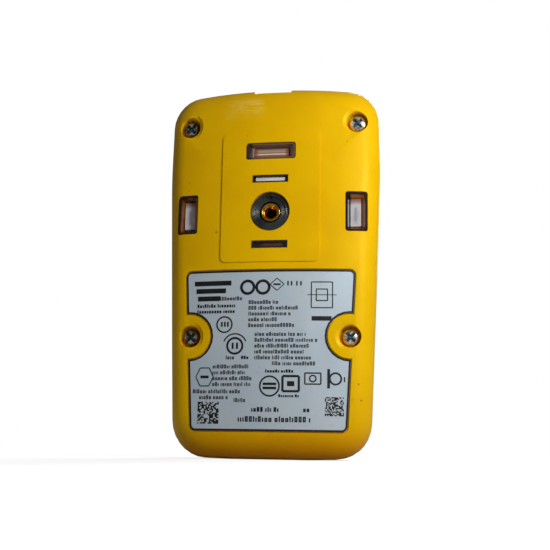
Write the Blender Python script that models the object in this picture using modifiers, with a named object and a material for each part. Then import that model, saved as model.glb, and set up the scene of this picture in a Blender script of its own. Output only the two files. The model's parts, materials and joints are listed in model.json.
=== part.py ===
"""A portable single-gas detector, without its belt clip, as an assembly of separate pieces.

It stands on its base: +Z runs up its length and +X across it. The rear face, with the clip pad, the alarm
windows and the rating label, looks towards -Y. The front face, with the display, the button and the gas
sensor, looks towards +Y. The origin is on the ground at the middle of the body. Units are metres.
"""

import math

import bmesh
import bpy
from mathutils import Matrix, Vector

MM = 0.001

# --- Body ---
LENGTH = 86.0 * MM
WIDTH = 50.0 * MM
DEPTH = 27.5 * MM
WALL = 2.0 * MM
PARTING_Y = -4.5 * MM  # where the rear cover meets the front cover
PARTING_GAP = 0.3 * MM
BASE_FLAT = 18.0 * MM  # the level stretch that it stands on
BASE_RISE = 0.4 * MM  # how far the base lifts by its corners
BASE_NARROW = 5.2 * MM  # how much narrower the base is than the widest line
WIDEST_DROP = 21.0 * MM  # from the top to the widest line
TOP_NARROW = 0.6 * MM
TOP_ARCH = 1.1 * MM  # how far the top edge falls by its corners
BASE_CORNER = 8.3 * MM
TOP_CORNER = 7.2 * MM
SIDE_BEND = 150.0 * MM
EDGE_STRETCH = 1.3  # the edges round off over a longer way at the top and the base
REAR_DRAFT = 0.15 * MM  # how far each side wall leans in by the parting line
FRONT_DRAFT = 0.8 * MM  # and by the front edge

# --- Rear face ---
REAR_EDGE = 4.2 * MM
REAR_CROWN = 120.0 * MM
REAR_SAG = 0.7 * MM  # how far the face falls from the pad to the base
PAD_WIDTH = 22.7 * MM
PAD_BELOW = 11.7 * MM  # from the clip's screw to the pad's lower edge
PAD_ABOVE = 18.7 * MM
PAD_RISE = 0.25 * MM
PAD_CORNER = 1.2 * MM
CLIP_DROP = 30.5 * MM  # from the top to the clip's screw
CLIP_HOLE_R = 4.6 * MM
SLOT_WIDTH = 8.3 * MM
SLOT_HEIGHT = 1.8 * MM
SLOT_REACH = 7.7 * MM  # from the clip's screw to each slot
TOP_NOTCH_WIDTH = 8.6 * MM
TOP_NOTCH_DEPTH = 1.3 * MM

# --- Alarm windows in the rear cover ---
TOP_WINDOW = (11.6 * MM, 4.0 * MM)
TOP_WINDOW_RISE = 14.4 * MM  # from the clip's screw to the window
SIDE_WINDOW = (5.1 * MM, 9.3 * MM)
SIDE_WINDOW_INSET = 5.35 * MM  # from the body's side to the window's middle
WINDOW_CORNER = 0.6 * MM
TOP_PIPE = (7.9 * MM, 2.0 * MM)
SIDE_PIPE = (2.4 * MM, 6.4 * MM)
PIPE_SINK = 1.6 * MM  # from the face to a light pipe's end
LENS_GAP = 0.2 * MM
FRAME_RECESS = 0.3 * MM
FRAME_DEPTH = 2.4 * MM
FRAME_RIM = 0.35 * MM
FUNNEL_DEPTH = 1.5 * MM
LIGHT_BAR = (6.9 * MM, 0.9 * MM)

# --- Rating label ---
LABEL_LOW_Z = 6.1 * MM
LABEL_HEIGHT = 35.8 * MM
LABEL_TOP_MARGIN = 5.6 * MM  # from the body's sides to the label's top corners
LABEL_BASE_MARGIN = 7.5 * MM
LABEL_CORNER = 1.2 * MM
LABEL_THICK = 0.2 * MM
LABEL_GAP = 0.25 * MM
LABEL_SINK = 0.2 * MM  # how far the label lies below the face
LABEL_CUTOUT_R = 5.2 * MM

# --- Case screws ---
TOP_SCREW_INSET = 5.2 * MM
TOP_SCREW_DROP = 9.1 * MM
MIDDLE_SCREW_INSET = 6.8 * MM
MIDDLE_SCREW_Z = 27.0 * MM
SCREW_HEAD_R = 2.05 * MM
SCREW_HEAD_THICK = 1.4 * MM
SCREW_RECESS = (2.7 * MM, 0.72 * MM, 0.8 * MM)  # length, width and depth of each arm of the cross
SCREW_SHANK_R = 1.0 * MM
SCREW_LENGTH = 12.0 * MM
SCREW_SEAT_DEPTH = 4.65 * MM  # from the pad's face to the seats of the screws
WELL_CLEARANCE = 0.4 * MM
WELL_RIM = 0.5 * MM  # the rounding of each well's mouth
WELL_WALL = 1.3 * MM
WELL_FLOOR = 1.6 * MM
SCREW_CLEARANCE = 0.2 * MM
BOSS_R = 2.5 * MM

# --- Clip boss and its threaded insert ---
INSERT_R = 2.3 * MM
INSERT_BORE_R = 1.6 * MM
INSERT_LENGTH = 4.6 * MM
INSERT_SINK = 1.0 * MM
BOSS_SINK = 0.7 * MM
KEY_SINK = 0.7 * MM
CHASSIS_WIDTH = 26.0 * MM
CHASSIS_THICK = 1.5 * MM
CHASSIS_CLEAR = 1.35 * MM  # from the rear wall's inside, at its deepest, to the plate
CHASSIS_BELOW = 10.7 * MM
CHASSIS_ABOVE = 10.5 * MM

# --- Front face ---
FRONT_EDGE = 5.0 * MM
FRONT_CROWN = 160.0 * MM
COLLAR_RISE = 0.55 * MM  # the sensor's collar stands this far off the face
DISPLAY_DROP = 19.5 * MM
DISPLAY_OPENING = (26.0 * MM, 19.0 * MM)
PANE = (30.6 * MM, 23.4 * MM)
PANE_THICK = 0.65 * MM
PANE_SHELF = 1.5 * MM
PANE_CORNER = 2.0 * MM
FRONT_LENS = (3.4 * MM, 12.0 * MM)
FRONT_LENS_INSET = 6.5 * MM
FRONT_LENS_DROP = 22.0 * MM
BUTTON_DROP = 37.7 * MM
BUTTON_R = 4.5 * MM
BUTTON_FLANGE_R = 5.7 * MM
BUTTON_DISH_R = 6.6 * MM
BUTTON_DISH_DEPTH = 0.7 * MM
BUTTON_GAP = 0.25 * MM
BUTTON_TRAVEL = 0.8 * MM
SENSOR_Z = 20.0 * MM
SENSOR_R = 8.25 * MM
GRILLE_R = 9.1 * MM
GRILLE_THICK = 1.25 * MM
GRILLE_HOLE_R = 1.3 * MM
GRILLE_PITCH = 4.6 * MM
COLLAR_R = 11.2 * MM
SENSOR_PORT_R = 7.2 * MM
SOUNDER_Z = 36.4 * MM
SOUNDER_R = 5.6 * MM
SOUND_SLOT = (7.0 * MM, 1.0 * MM)
SOUND_SLOT_PITCH = 2.3 * MM

# --- Inside ---
SEAT_GAP = 0.3 * MM  # between pieces that rest on each other
BOARD_BACK_Y = 1.0 * MM
BOARD_THICK = 1.0 * MM
BOARD_MARGIN = 4.7 * MM  # from the body's sides to the board's
BOARD_LOW_Z = 8.0 * MM
BOARD_TOP_DROP = 5.5 * MM
BOARD_FOOT_MARGIN = 8.0 * MM
BOARD_CLEAR = 0.6 * MM
CELL_R = 7.25 * MM
CELL_LENGTH = 25.0 * MM
CELL_Z = 37.4 * MM
CELL_Y = -2.9 * MM
LED_SIZE = (2.6 * MM, 1.2 * MM, 1.6 * MM)
GLASS = (28.6 * MM, 21.4 * MM)
GLASS_THICK = 1.6 * MM
BACKLIGHT = (26.0 * MM, 15.6 * MM)
BACKLIGHT_THICK = 1.8 * MM
FRAME_WALL = 0.8 * MM
STRIP = (25.0 * MM, 1.8 * MM)
SWITCH_SIZE = 6.0 * MM
SWITCH_HEIGHT = 2.8 * MM
PLUNGER_R = 1.5 * MM
MOTOR_R = 3.0 * MM
MOTOR_LENGTH = 10.0 * MM
MOTOR_AT = (-4.0 * MM, -6.3 * MM, 13.5 * MM)
SHAFT_R = 0.5 * MM
WEIGHT_R = 2.7 * MM
WEIGHT_LENGTH = 3.6 * MM

SIDES = 24  # round pieces
FINE = 32  # large round pieces

BASE_WIDTH = WIDTH - BASE_NARROW
TOP_WIDTH = WIDTH - TOP_NARROW
TOP_SCREW_X = WIDTH / 2 - TOP_SCREW_INSET
MIDDLE_SCREW_X = WIDTH / 2 - MIDDLE_SCREW_INSET
SIDE_WINDOW_X = WIDTH / 2 - SIDE_WINDOW_INSET
FRONT_LENS_X = WIDTH / 2 - FRONT_LENS_INSET
LABEL_TOP_WIDTH = WIDTH - 2 * LABEL_TOP_MARGIN
LABEL_BASE_WIDTH = WIDTH - 2 * LABEL_BASE_MARGIN
BOARD_WIDTH = WIDTH - 2 * BOARD_MARGIN
BOARD_FOOT_WIDTH = WIDTH - 2 * BOARD_FOOT_MARGIN
REAR_Y = -DEPTH / 2  # the pad's face
FRONT_Y = DEPTH / 2 - COLLAR_RISE
BOARD_FRONT_Y = BOARD_BACK_Y + BOARD_THICK
SCREW_SEAT_Y = REAR_Y + SCREW_SEAT_DEPTH
CHASSIS_Y = REAR_Y + WALL + CHASSIS_CLEAR
MIDDLE_Z = LENGTH / 2
WIDEST_Z = LENGTH - WIDEST_DROP
CLIP_Z = LENGTH - CLIP_DROP
PAD_LOW_Z, PAD_HIGH_Z = CLIP_Z - PAD_BELOW, CLIP_Z + PAD_ABOVE
CHASSIS_LOW_Z, CHASSIS_HIGH_Z = CLIP_Z - CHASSIS_BELOW, CLIP_Z + CHASSIS_ABOVE
TOP_WINDOW_Z = CLIP_Z + TOP_WINDOW_RISE
DISPLAY_Z = LENGTH - DISPLAY_DROP
FRONT_LENS_Z = LENGTH - FRONT_LENS_DROP
BUTTON_Z = LENGTH - BUTTON_DROP
BOARD_HIGH_Z = LENGTH - BOARD_TOP_DROP
LABEL_HIGH_Z = LABEL_LOW_Z + LABEL_HEIGHT
TOP_SCREW = (TOP_SCREW_X, LENGTH - TOP_SCREW_DROP)
MIDDLE_SCREW = (MIDDLE_SCREW_X, MIDDLE_SCREW_Z)
WELL_R = SCREW_HEAD_R + WELL_CLEARANCE

COLOURS = {
    "yellow": ((0.86, 0.56, 0.01), 0.38, 0.0),
    "smoked": ((0.05, 0.045, 0.05), 0.2, 0.0),
    "lens": ((0.45, 0.30, 0.24), 0.12, 0.0),
    "white": ((0.80, 0.80, 0.84), 0.5, 0.0),
    "label": ((0.46, 0.50, 0.53), 0.35, 0.0),
    "steel": ((0.60, 0.62, 0.64), 0.3, 1.0),
    "brass": ((0.72, 0.50, 0.20), 0.3, 1.0),
    "rubber": ((0.03, 0.03, 0.03), 0.8, 0.0),
    "black": ((0.02, 0.02, 0.02), 0.45, 0.0),
    "board": ((0.02, 0.18, 0.07), 0.5, 0.0),
    "glass": ((0.35, 0.40, 0.36), 0.1, 0.0),
    "cell": ((0.10, 0.20, 0.42), 0.4, 0.0),
    "nickel": ((0.66, 0.63, 0.58), 0.35, 1.0),
    "felt": ((0.85, 0.85, 0.82), 0.9, 0.0),
}


def clear_scene():
    for obj in list(bpy.data.objects):
        bpy.data.objects.remove(obj)


def new_collection(name):
    made = bpy.data.collections.new(name)
    bpy.context.scene.collection.children.link(made)
    return made


clear_scene()
PARTS = new_collection("gas_detector")
CUTTERS = new_collection("cutters")


def material(key):
    if key in bpy.data.materials:
        return bpy.data.materials[key]
    colour, roughness, metallic = COLOURS[key]
    made = bpy.data.materials.new(key)
    made.use_nodes = True
    shader = made.node_tree.nodes["Principled BSDF"]
    shader.inputs["Base Color"].default_value = (*colour, 1.0)
    shader.inputs["Roughness"].default_value = roughness
    shader.inputs["Metallic"].default_value = metallic
    return made


# --- Shapes ---


def place(name, mesh, matrix=None):
    obj = bpy.data.objects.new(name, mesh)
    if matrix is not None:
        obj.matrix_world = matrix
    PARTS.objects.link(obj)
    return obj


def mesh_from(name, bm):
    mesh = bpy.data.meshes.new(name)
    bm.to_mesh(mesh)
    bm.free()
    return mesh


def finish(obj, key, smooth=True):
    """Gives a piece its material, and shades its round faces smooth."""
    obj.data.materials.append(material(key))
    if smooth:
        obj.data.shade_smooth()
        obj.data.set_sharp_from_angle(angle=math.radians(35))
    return obj


def cylinder(name, radius, start, end, sides=SIDES, tip_radius=None):
    """A round bar, or a cone, from one point to another."""
    start, end = Vector(start), Vector(end)
    along = end - start
    bm = bmesh.new()
    bmesh.ops.create_cone(
        bm,
        cap_ends=True,
        segments=sides,
        radius1=radius,
        radius2=radius if tip_radius is None else tip_radius,
        depth=along.length,
    )
    turn = along.to_track_quat("Z", "Y").to_matrix().to_4x4()
    return place(name, mesh_from(name, bm), Matrix.Translation((start + end) / 2) @ turn)


def box(name, low, high):
    low, high = Vector(low), Vector(high)
    bm = bmesh.new()
    bmesh.ops.create_cube(bm, size=1.0)
    bmesh.ops.scale(bm, vec=high - low, verts=bm.verts)
    return place(name, mesh_from(name, bm), Matrix.Translation((low + high) / 2))


def plate(name, outlines, y_from, y_to):
    """A flat outline in the XZ plane, with any further outlines as holes, extruded along Y."""
    curve = bpy.data.curves.new(name, "CURVE")
    curve.dimensions = "2D"
    curve.fill_mode = "BOTH"
    curve.extrude = abs(y_to - y_from) / 2
    for outline in outlines:
        spline = curve.splines.new("POLY")
        spline.points.add(len(outline) - 1)
        for point, (x, z) in zip(spline.points, outline):
            point.co = (x, z, 0.0, 1.0)
        spline.use_cyclic_u = True
    turn = Matrix.Rotation(math.radians(90), 4, "X")
    drawn = place(name, curve, Matrix.Translation((0, (y_from + y_to) / 2, 0)) @ turn)
    return as_mesh(drawn)


def as_mesh(drawn):
    """A curve object made a closed mesh, with its caps welded to its sides."""
    bpy.context.view_layer.update()
    name, matrix = drawn.name, drawn.matrix_world.copy()
    graph = bpy.context.evaluated_depsgraph_get()
    mesh = bpy.data.meshes.new_from_object(drawn.evaluated_get(graph))
    bm = bmesh.new()
    bm.from_mesh(mesh)
    bmesh.ops.remove_doubles(bm, verts=bm.verts, dist=0.001 * MM)
    bm.to_mesh(mesh)
    bm.free()
    bpy.data.objects.remove(drawn)
    return place(name, mesh, matrix)


def turned(name, profile, matrix, sides=SIDES):
    """A closed profile of (radius, height) points turned about its own Z axis, then placed."""
    mesh = bpy.data.meshes.new(name)
    count = len(profile)
    edges = [(i, i + 1) for i in range(count - 1)]
    mesh.from_pydata([(r, 0.0, h) for r, h in profile], edges, [])
    obj = place(name, mesh, matrix)
    screw = obj.modifiers.new("turn", "SCREW")
    screw.steps = screw.render_steps = sides
    screw.use_merge_vertices = True
    screw.merge_threshold = 0.001 * MM
    screw.use_smooth_shade = True
    return obj


def screw_well(name, centre, face_y):
    """A cutter for a screw's well, with a rounded mouth at the face and the shank's hole in its floor."""
    radius, rim, floor_y = WELL_R, WELL_RIM, SCREW_SEAT_Y
    hole_r, below = SCREW_SHANK_R + SCREW_CLEARANCE, -WELL_FLOOR - 2 * MM
    height = floor_y - face_y
    steps = [math.radians(70 * k / 4) for k in range(4, -1, -1)]
    arc = [(radius + rim - rim * math.cos(t), height - rim + rim * math.sin(t)) for t in steps]
    lip = (arc[0][0] + 1.1 * rim, arc[0][1] + 0.4 * rim)
    profile = [(0.0, height + 3 * MM), (lip[0], height + 3 * MM), lip, *arc]
    profile += [(radius, 0.0), (hole_r, 0.0), (hole_r, below), (0.0, below)]
    turn = Matrix.Rotation(math.radians(90), 4, "X")
    return turned(name, profile, Matrix.Translation((centre[0], floor_y, centre[1])) @ turn)


def hide(cutter):
    cutter.hide_render = True
    cutter.display_type = "WIRE"
    PARTS.objects.unlink(cutter)
    CUTTERS.objects.link(cutter)
    return cutter


def combine(target, others, operation):
    for other in others:
        if other.name not in CUTTERS.objects:
            hide(other)
        step = target.modifiers.new(other.name, "BOOLEAN")
        step.object = other
        step.operation = operation
    return target


def cut(target, *cutters):
    return combine(target, cutters, "DIFFERENCE")


def join(target, *others):
    return combine(target, others, "UNION")


def keep_inside(target, *others):
    return combine(target, others, "INTERSECT")


def soften(obj, width, segments=2):
    bevel = obj.modifiers.new("edges", "BEVEL")
    bevel.width = width
    bevel.segments = segments
    bevel.limit_method = "ANGLE"
    bevel.angle_limit = math.radians(50)
    return obj


def rounded(corners, steps=6):
    """A polyline whose corners (x, z, radius) are replaced by arcs. A radius of 0 keeps the point."""
    points = []
    for i, (x, z, radius) in enumerate(corners):
        if radius == 0:
            points.append((x, z))
            continue
        here = Vector((x, z))
        before = Vector(corners[i - 1][:2]) - here
        after = Vector(corners[(i + 1) % len(corners)][:2]) - here
        half = before.angle(after) / 2
        bisector = (before.normalized() + after.normalized()).normalized()
        centre = here + bisector * (radius / math.sin(half))
        start = here + before.normalized() * (radius / math.tan(half)) - centre
        end = here + after.normalized() * (radius / math.tan(half)) - centre
        sweep = start.angle_signed(end)
        for k in range(steps + 1):
            spoke = start.copy()
            spoke.rotate(Matrix.Rotation(-sweep * k / steps, 2))
            points.append(tuple(centre + spoke))
    return points


def rectangle(size, centre=(0.0, 0.0), corner=0.0, steps=3):
    half_x, half_z = size[0] / 2, size[1] / 2
    x, z = centre
    signs = ((-1, -1), (1, -1), (1, 1), (-1, 1))
    return rounded([(x + a * half_x, z + b * half_z, corner) for a, b in signs], steps)


def grown(size, by):
    return size[0] + 2 * by, size[1] + 2 * by


def circle(radius, centre=(0.0, 0.0), sides=SIDES):
    turns = [2 * math.pi * k / sides for k in range(sides)]
    return [(centre[0] + radius * math.cos(t), centre[1] + radius * math.sin(t)) for t in turns]


# --- The body's outer form ---


def body_outline(inset=0.0, draft=0.0):
    """The body's outline, shrunk by an inset towards its middle. A draft moves only its sides in."""
    side = [(BASE_FLAT / 2 * share, 0.0, 0.0) for share in (0.0, 0.5, 1.0)]
    side.append((BASE_WIDTH / 2, BASE_RISE, BASE_CORNER))
    for share in (0.3, 0.48, 0.66):
        x = BASE_WIDTH / 2 + (WIDTH - BASE_WIDTH) / 2 * share
        side.append((x, BASE_RISE + (WIDEST_Z - BASE_RISE) * share, 0.0))
    side.append((WIDTH / 2, WIDEST_Z, SIDE_BEND))
    side.append((TOP_WIDTH / 2, LENGTH - TOP_ARCH, TOP_CORNER))
    for share in (0.56, 0.42, 0.28, 0.14, 0.0):
        side.append((TOP_WIDTH / 2 * share, LENGTH - TOP_ARCH * share * share, 0.0))
    right = rounded(side, 7)
    left = [(-x, z) for x, z in reversed(right) if x > 0]
    across = 1 - (inset + draft) / (WIDTH / 2)
    along = 1 - EDGE_STRETCH * inset / (LENGTH / 2)
    return [(x * across, MIDDLE_Z + (z - MIDDLE_Z) * along) for x, z in right + left]


def rear_face_y(x, z):
    """The crowned rear face, before its edges round off."""
    below = max(0.0, (PAD_LOW_Z - z) / PAD_LOW_Z)
    return REAR_Y + PAD_RISE + x * x / (2 * REAR_CROWN) + REAR_SAG * below * below


def front_face_y(x, z):
    return FRONT_Y - x * x / (2 * FRONT_CROWN)


def edge_drop(inset, radius):
    """How far a rounded edge has fallen at an inset from the outline."""
    reach = max(0.0, (radius - inset) / radius)
    return radius * (1 - math.sqrt(1 - reach * reach))


def half_shell(name, rim_y, face_y, radius, inwards, draft):
    """A domed shell: a drafted side wall from its rim, a rounded edge and a crowned face."""
    edge_steps = 5
    insets = [radius * (1 - math.cos(math.radians(90 * k / edge_steps))) for k in range(edge_steps + 1)]
    insets += [WIDTH / 2 * share for share in (0.4, 0.64, 0.88)]
    rings = [[(x, rim_y, z) for x, z in body_outline(draft=REAR_DRAFT)]]
    for inset in insets:
        drop = inwards * edge_drop(inset, radius)
        rings.append([(x, face_y(x, z) + drop, z) for x, z in body_outline(inset, draft)])
    bm = bmesh.new()
    loops = [[bm.verts.new(point) for point in ring] for ring in rings]
    count = len(loops[0])
    for outer, inner in zip(loops, loops[1:]):
        for i in range(count):
            j = (i + 1) % count
            bm.faces.new((outer[i], outer[j], inner[j], inner[i]))
    bm.faces.new(loops[-1])
    bmesh.ops.recalc_face_normals(bm, faces=bm.faces)
    bm.faces.ensure_lookup_table()
    if bm.faces[-1].normal.y * inwards > 0:
        bmesh.ops.reverse_faces(bm, faces=bm.faces)
    bmesh.ops.triangulate(bm, faces=bm.faces)
    shell = place(name, mesh_from(name, bm))
    wall = shell.modifiers.new("wall", "SOLIDIFY")
    wall.thickness = WALL
    wall.offset = -1.0
    wall.use_even_offset = True
    return shell


def crowned_sheet(name, sink, thickness, reach_x, low_z, high_z, columns=12):
    """A sheet that follows the rear face, its back sunk below the face."""
    bm = bmesh.new()
    bmesh.ops.create_grid(bm, x_segments=columns, y_segments=5, size=0.5)
    for vertex in bm.verts:
        x = 2 * reach_x * vertex.co.x
        z = low_z + (high_z - low_z) * (vertex.co.y + 0.5)
        vertex.co = (x, rear_face_y(x, z) + sink, z)
    bmesh.ops.recalc_face_normals(bm, faces=bm.faces)
    bm.faces.ensure_lookup_table()
    if bm.faces[0].normal.y > 0:
        bmesh.ops.reverse_faces(bm, faces=bm.faces)
    bmesh.ops.triangulate(bm, faces=bm.faces)
    sheet = place(name, mesh_from(name, bm))
    depth = sheet.modifiers.new("thickness", "SOLIDIFY")
    depth.thickness = thickness
    depth.offset = 1.0
    return sheet


def label_reach():
    """How far a sheet reaches to cover the label: to each side, and its low and high edges."""
    return LABEL_TOP_WIDTH / 2 + MM, LABEL_LOW_Z - MM, LABEL_HIGH_Z + MM


def label_shape(name, grow, y_from, y_to):
    """The label's outline: tapered, with a round cut-out at each side for a screw."""
    outline = [
        (-LABEL_BASE_WIDTH / 2 - grow, LABEL_LOW_Z - grow, LABEL_CORNER + grow),
        (LABEL_BASE_WIDTH / 2 + grow, LABEL_LOW_Z - grow, LABEL_CORNER + grow),
        (LABEL_TOP_WIDTH / 2 + grow, LABEL_HIGH_Z + grow, LABEL_CORNER + grow),
        (-LABEL_TOP_WIDTH / 2 - grow, LABEL_HIGH_Z + grow, LABEL_CORNER + grow),
    ]
    shape = plate(name, [rounded(outline, 4)], y_from, y_to)
    x, z = MIDDLE_SCREW
    radius = LABEL_CUTOUT_R - grow
    for side, sign in (("left", -1), ("right", 1)):
        ends = (sign * x, y_from - MM, z), (sign * x, y_to + MM, z)
        cut(shape, cylinder(f"{name}_cutout_{side}", radius, *ends))
    return shape


def screw_places():
    """(name ending, x, z) of the four case screws."""
    for row, (x, z) in (("top", TOP_SCREW), ("middle", MIDDLE_SCREW)):
        for side, sign in (("left", -1), ("right", 1)):
            yield f"{row}_{side}", sign * x, z


def window_places():
    """(name ending, size, light pipe's size, x, z, tilt) of the alarm windows in the rear cover."""
    tilt = math.atan(SIDE_WINDOW_X / REAR_CROWN)
    yield "top", TOP_WINDOW, TOP_PIPE, 0.0, TOP_WINDOW_Z, 0.0
    yield "left", SIDE_WINDOW, SIDE_PIPE, -SIDE_WINDOW_X, CLIP_Z, -tilt
    yield "right", SIDE_WINDOW, SIDE_PIPE, SIDE_WINDOW_X, CLIP_Z, tilt


def square_to_face(block, x, z, tilt):
    """Moves a block, made about the origin, to a window, with its Y axis square to the face there."""
    face_y = rear_face_y(x, z) if x else REAR_Y
    turn = Matrix.Rotation(tilt, 4, "Z")
    block.matrix_world = Matrix.Translation((x, face_y, z)) @ turn @ block.matrix_world
    return block


def window_block(name, size, x, z, tilt, grow, outside, inside):
    """A block in an alarm window, from one depth below the face to another."""
    block = plate(name, [rectangle(grown(size, grow), corner=WINDOW_CORNER)], outside, inside)
    return square_to_face(block, x, z, tilt)


def funnel(name, mouth, throat, y_from, y_to):
    """A four-sided block that narrows along Y from its mouth to its throat."""
    block = box(name, (-0.5, y_from, -0.5), (0.5, y_to, 0.5))
    for vertex in block.data.vertices:
        width, height = mouth if vertex.co.y < 0 else throat
        vertex.co.x *= width
        vertex.co.z *= height
    return block


# --- Covers and what shows on them ---


def rear_cover():
    rim_y = PARTING_Y - PARTING_GAP / 2
    cover = half_shell("rear_cover", rim_y, rear_face_y, REAR_EDGE, 1, 0.0)
    pad_height = PAD_HIGH_Z - PAD_LOW_Z
    pad_outline = rectangle((PAD_WIDTH, pad_height), (0, (PAD_LOW_Z + PAD_HIGH_Z) / 2), PAD_CORNER)
    pad = plate("pad", [pad_outline], REAR_Y - MM, REAR_Y + 3 * MM)
    pad_reach = PAD_WIDTH / 2 + MM, PAD_LOW_Z - MM, PAD_HIGH_Z + MM
    keep_inside(pad, crowned_sheet("pad_sheet", WALL / 2, PAD_RISE + WALL / 2, *pad_reach, columns=9))
    join(cover, pad)
    floor_y = SCREW_SEAT_Y + WELL_FLOOR
    for ending, x, z in screw_places():
        surface_y = rear_face_y(x, z)
        well_r = WELL_R + WELL_WALL
        join(cover, cylinder(f"well_{ending}", well_r, (x, surface_y + WALL, z), (x, floor_y, z)))
    for ending, x, z in screw_places():
        cut(cover, screw_well(f"screw_well_{ending}", (x, z), rear_face_y(x, z)))
    for ending, size, _, x, z, tilt in window_places():
        cut(cover, window_block(f"window_{ending}", size, x, z, tilt, 0, -2 * MM, 2 * WALL))
    ends = (0, REAR_Y - MM, CLIP_Z), (0, REAR_Y + 2 * WALL, CLIP_Z)
    cut(cover, cylinder("clip_hole", CLIP_HOLE_R, *ends, sides=FINE))
    for ending, sign in (("upper", 1), ("lower", -1)):
        slot = rectangle((SLOT_WIDTH, SLOT_HEIGHT), (0, CLIP_Z + sign * SLOT_REACH))
        cut(cover, plate(f"slot_{ending}", [slot], REAR_Y - MM, REAR_Y + 2 * WALL))
    recess = label_shape("label_recess", LABEL_GAP, REAR_Y - MM, REAR_Y + 5 * MM)
    floor_sink = LABEL_SINK + LABEL_THICK + SEAT_GAP / 2
    keep_inside(recess, crowned_sheet("label_floor", floor_sink, 4 * MM, *label_reach()))
    notch_low, notch_high = LENGTH - TOP_NOTCH_DEPTH, LENGTH + MM
    notch = box(
        "top_notch",
        (-TOP_NOTCH_WIDTH / 2, REAR_Y - MM, notch_low),
        (TOP_NOTCH_WIDTH / 2, PARTING_Y + MM, notch_high),
    )
    cut(cover, recess, notch)
    return finish(cover, "yellow")


def rating_label():
    label = label_shape("rating_label", 0, REAR_Y - MM, REAR_Y + 5 * MM)
    keep_inside(label, crowned_sheet("label_sheet", LABEL_SINK + LABEL_THICK, LABEL_THICK, *label_reach()))
    finish(label, "label", smooth=False)


def clip_boss():
    """The smoked plate behind the pad: its boss holds the insert, and a key fills the lower slot."""
    back_y = CHASSIS_Y + CHASSIS_THICK
    chassis_size = (CHASSIS_WIDTH, CHASSIS_HIGH_Z - CHASSIS_LOW_Z)
    middle = (0, (CHASSIS_LOW_Z + CHASSIS_HIGH_Z) / 2)
    boss = plate("clip_boss", [rectangle(chassis_size, middle, 1.5 * MM)], CHASSIS_Y, back_y)
    boss_r = CLIP_HOLE_R - LENS_GAP
    face_y = REAR_Y + BOSS_SINK
    join(boss, cylinder("boss_body", boss_r, (0, face_y, CLIP_Z), (0, CHASSIS_Y + MM, CLIP_Z), FINE))
    insert_back_y = REAR_Y + INSERT_SINK + INSERT_LENGTH + SEAT_GAP
    sleeve_r = INSERT_R + 1.4 * MM
    join(boss, cylinder("boss_sleeve", sleeve_r, (0, CHASSIS_Y + MM, CLIP_Z), (0, insert_back_y + MM, CLIP_Z)))
    key = rectangle(grown((SLOT_WIDTH, SLOT_HEIGHT), -LENS_GAP), (0, CLIP_Z - SLOT_REACH))
    join(boss, plate("key", [key], REAR_Y + KEY_SINK, CHASSIS_Y + MM))
    socket_r = INSERT_R + LENS_GAP
    dish_r = boss_r - 0.7 * MM
    cut(
        boss,
        cylinder("boss_dish", dish_r, (0, face_y - MM, CLIP_Z), (0, face_y + 0.35 * MM, CLIP_Z), FINE),
        cylinder("boss_socket", socket_r, (0, face_y - MM, CLIP_Z), (0, insert_back_y, CLIP_Z)),
    )
    mark_low, mark_high = CLIP_Z + INSERT_R + 0.5 * MM, CLIP_Z + dish_r - 0.1 * MM
    mark_y = face_y + 0.35 * MM
    cut(boss, box("boss_mark", (-0.12 * MM, mark_y - MM, mark_low), (0.12 * MM, mark_y + 0.2 * MM, mark_high)))
    finish(boss, "smoked")
    bar = rectangle(LIGHT_BAR, (0, CLIP_Z + SLOT_REACH))
    finish(plate("light_bar", [bar], REAR_Y + KEY_SINK, CHASSIS_Y - SEAT_GAP / 2), "white", smooth=False)


def threaded_insert():
    """A blind brass insert, knurled outside, with the clip screw's bore."""
    bore_depth = INSERT_LENGTH - 0.6 * MM
    profile = [
        (0.0, -INSERT_LENGTH),
        (INSERT_R - 0.3 * MM, -INSERT_LENGTH),
        (INSERT_R, -INSERT_LENGTH + 0.4 * MM),
        (INSERT_R, -0.3 * MM),
        (INSERT_R - 0.2 * MM, 0.0),
        (INSERT_BORE_R + 0.25 * MM, 0.0),
        (INSERT_BORE_R, -0.3 * MM),
        (INSERT_BORE_R, -bore_depth),
        (0.0, -bore_depth),
    ]
    turn = Matrix.Rotation(math.radians(90), 4, "X")
    front = Matrix.Translation((0, REAR_Y + INSERT_SINK, CLIP_Z))
    finish(turned("threaded_insert", profile[::-1], front @ turn), "brass", smooth=False)


def alarm_windows():
    """A smoked frame in each rear window, the light pipe in its funnel and the lamp on the board."""
    for ending, size, pipe, x, z, tilt in window_places():
        inside = FRAME_RECESS + FRAME_DEPTH
        frame = window_block(f"window_frame_{ending}", size, x, z, tilt, -LENS_GAP, FRAME_RECESS, inside)
        mouth, throat = grown(size, -LENS_GAP - FRAME_RIM), grown(pipe, LENS_GAP)
        mouth_y, throat_y = FRAME_RECESS - 0.01 * MM, FRAME_RECESS + FUNNEL_DEPTH
        square_to_face(funnel(f"funnel_{ending}", mouth, throat, mouth_y, throat_y), x, z, tilt)
        face_y = rear_face_y(x, z) if x else REAR_Y
        pipe_x = x - math.sin(tilt) * (FRAME_RECESS + FUNNEL_DEPTH)
        hole = rectangle(throat, (pipe_x, z))
        bore = plate(f"pipe_hole_{ending}", [hole], face_y + FUNNEL_DEPTH, face_y + 2 * inside)
        finish(cut(frame, bpy.data.objects[f"funnel_{ending}"], bore), "smoked", smooth=False)
        lamp_y = BOARD_BACK_Y - SEAT_GAP
        low = (pipe_x - pipe[0] / 2, face_y + PIPE_SINK, z - pipe[1] / 2)
        high = (pipe_x + pipe[0] / 2, lamp_y - LED_SIZE[1] - SEAT_GAP, z + pipe[1] / 2)
        finish(box(f"light_pipe_{ending}", low, high), "white", smooth=False)
        led(f"alarm_led_{ending}", pipe_x, z, lamp_y - LED_SIZE[1], lamp_y, size[0] < size[1])


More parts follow.
